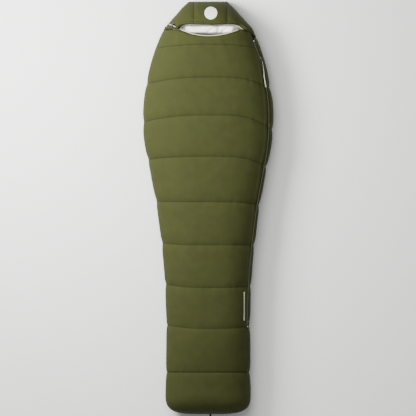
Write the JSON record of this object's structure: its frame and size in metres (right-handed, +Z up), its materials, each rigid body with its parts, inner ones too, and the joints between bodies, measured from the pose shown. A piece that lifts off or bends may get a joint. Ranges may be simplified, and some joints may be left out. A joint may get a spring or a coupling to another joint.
{
  "type": "mummy sleeping bag",
  "caption": "Quilted mummy sleeping bag lying flat, with a shaped hood, rounded foot box, long curved side zip that opens a front flap, hood drawcord and cord lock.",
  "frame": {"origin": "on the ground, under the middle of the bag, halfway between the foot end and the hood's top edge", "axes": "+Z up off the ground, +Y towards the hood, +X towards the zip side"},
  "size_m": [0.6904, 2.2126, 0.265],
  "materials": {
    "shell_fabric": "matte olive woven polyester shell with a faint sheen",
    "wadding": "white polyester wadding, hidden between shell and lining",
    "lining_fabric": "off-white woven polyester lining",
    "zip_tape": "dark olive woven zip tape",
    "zip_coil": "black nylon zip coil",
    "zip_stop": "dark stamped zip stops",
    "slider_metal": "black lacquered die-cast zip slider and pull",
    "black_plastic": "black moulded acetal",
    "pale_cord": "pale braided polyester cord",
    "pale_strap": "pale woven pull strap",
    "pale_print": "pale heat-transfer film",
    "spring_steel": "plain spring steel wire",
    "black_webbing": "black woven webbing"
  },
  "bodies": {
    "root": {"back_shell": "shell_fabric", "back_fill": "wadding", "back_liner": "lining_fabric", "front_shell": "shell_fabric", "front_fill": "wadding", "front_liner": "lining_fabric", "foot_box_shell": "shell_fabric", "foot_box_fill": "wadding", "foot_box_liner": "lining_fabric", "hood_back_shell": "shell_fabric", "hood_back_fill": "wadding", "hood_back_liner": "lining_fabric", "hood_centre_panel": "shell_fabric", "hood_left_panel": "shell_fabric", "hood_right_panel": "shell_fabric", "hood_front_fill": "wadding", "hood_front_liner": "lining_fabric", "hood_mark": "pale_print", "rim_drawcord": "pale_cord", "drawcord_tail": "pale_cord", "drawcord_knot": "pale_cord", "cord_eyelet": "black_plastic", "back_zip_tape": "zip_tape", "back_zip_coil": "zip_coil", "knee_zip_tape": "zip_tape", "knee_zip_coil": "zip_coil", "zip_bottom_stop": "zip_stop", "back_top_stop": "zip_stop", "garage_tab_patch": "black_webbing", "foot_hang_loop": "black_webbing", "side_strip": "pale_print"},
    "flap": {"flap_shell": "shell_fabric", "flap_fill": "wadding", "flap_liner": "lining_fabric", "flap_zip_tape": "zip_tape", "flap_zip_coil": "zip_coil", "flap_top_stop": "zip_stop", "draft_tube": "lining_fabric"},
    "garage_tab": {"zip_garage_tab": "black_webbing"},
    "main_slider": {"main_slider_body": "slider_metal"},
    "main_pull": {"main_slider_pull_tab": "slider_metal", "main_slider_pull_strap": "pale_strap"},
    "lower_slider": {"lower_slider_body": "slider_metal"},
    "lower_pull": {"lower_slider_pull_tab": "slider_metal"},
    "cord_lock": {"cord_lock_barrel": "black_plastic", "cord_lock_spring": "spring_steel"},
    "lock_plunger": {"cord_lock_plunger": "black_plastic"}
  },
  "joints": [
    {"name": "flap_fold", "type": "hinge", "parent": "root", "child": "flap", "pos_m": [0, 0, 0.268], "axis": [0, -1, 0], "range_deg": [0, 170]},
    {"name": "garage_tab_peel", "type": "hinge", "parent": "flap", "child": "garage_tab", "pos_m": [0.24431, 0.89643, 0.18], "axis": [0.3773, -0.9261, 0], "range_deg": [0, 160]},
    {"name": "main_slider_travel", "type": "hinge", "parent": "flap", "child": "main_slider", "pos_m": [-0.827, 0.46, 0.168], "axis": [0, 0, 1], "range_deg": [-20.3, 4]},
    {"name": "main_pull_swing", "type": "hinge", "parent": "main_slider", "child": "main_pull", "pos_m": [0.282, 0.79674, 0.168], "axis": [0, 0, 1], "range_deg": [0, 160]},
    {"name": "lower_slider_travel", "type": "hinge", "parent": "root", "child": "lower_slider", "pos_m": [4.37, -0.65, 0.168], "axis": [0, 0, -1], "range_deg": [-0.2, 10.5]},
    {"name": "lower_pull_swing", "type": "hinge", "parent": "lower_slider", "child": "lower_pull", "pos_m": [0.21624, -0.60506, 0.168], "axis": [0, 0, -1], "range_deg": [0, 160]},
    {"name": "cord_lock_travel", "type": "hinge", "parent": "root", "child": "cord_lock", "pos_m": [-0.06491, 0.9119, 0.10802], "axis": [-0.4133, -0.9106, 0], "range_deg": [-1, 33]},
    {"name": "lock_plunger_press", "type": "slide", "parent": "cord_lock", "child": "lock_plunger", "axis": [-0.4133, -0.9106, 0], "range_m": [0, 0.003], "stiffness_N_per_m": 300, "springref_m": -0.002}
  ]
}
